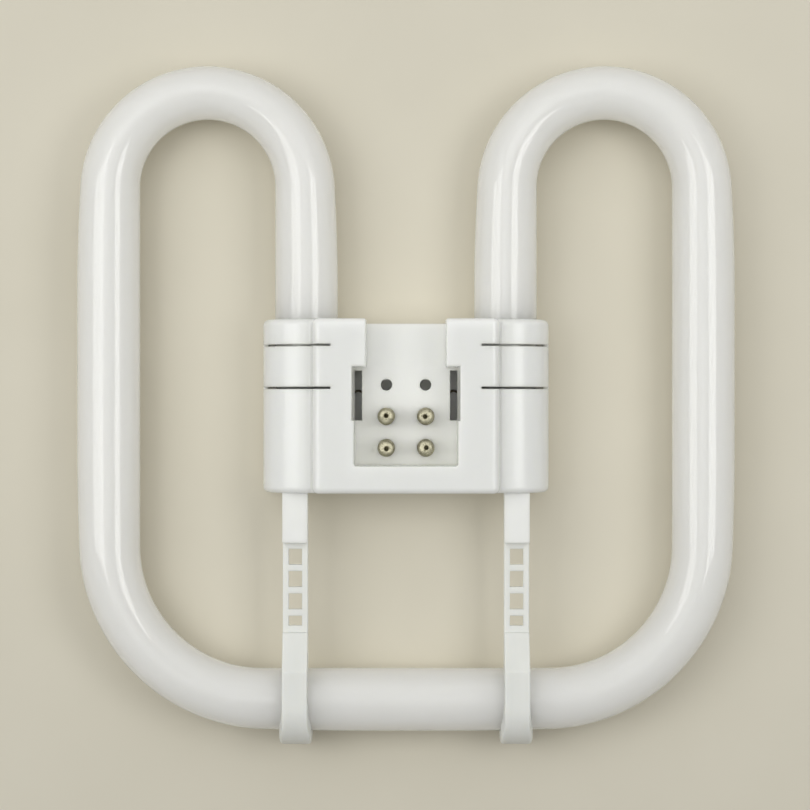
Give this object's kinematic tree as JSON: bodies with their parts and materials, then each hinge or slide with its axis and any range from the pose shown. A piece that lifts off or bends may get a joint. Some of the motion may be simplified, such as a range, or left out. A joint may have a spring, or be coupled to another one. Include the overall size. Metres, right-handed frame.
{
  "type": "square compact fluorescent lamp",
  "caption": "Flat square fluorescent lamp: a white glass tube bent into a double-D loop, held by a recessed four-pin snap-together cap and hooked straps.",
  "frame": {"origin": "middle of the lamp's outline, on the surface that it rests on", "axes": "+Z along the contact pins, +Y from the bottom run towards the U-bends, +X to the right when the pins face the viewer"},
  "size_m": [0.1334, 0.1376, 0.0189],
  "materials": {
    "coated_glass": "clear gloss over an opaque white coating",
    "cap_plastic": "satin, moulded",
    "hook_plastic": "satin, moulded",
    "pin_metal": "tin plated, slightly dull",
    "wire_metal": "bare drawn wire"
  },
  "bodies": {
    "root": {"discharge_tube": "coated_glass", "cap_front": "cap_plastic", "cap_rear": "cap_plastic", "tube_hook_right": "hook_plastic", "tube_hook_left": "hook_plastic", "contact_pin_1": "pin_metal", "contact_pin_2": "pin_metal", "contact_pin_3": "pin_metal", "contact_pin_4": "pin_metal", "lead_wire_upper_right": "wire_metal", "lead_wire_upper_left": "wire_metal", "lead_wire_lower_right": "wire_metal", "lead_wire_lower_left": "wire_metal"}
  },
  "joints": []
}
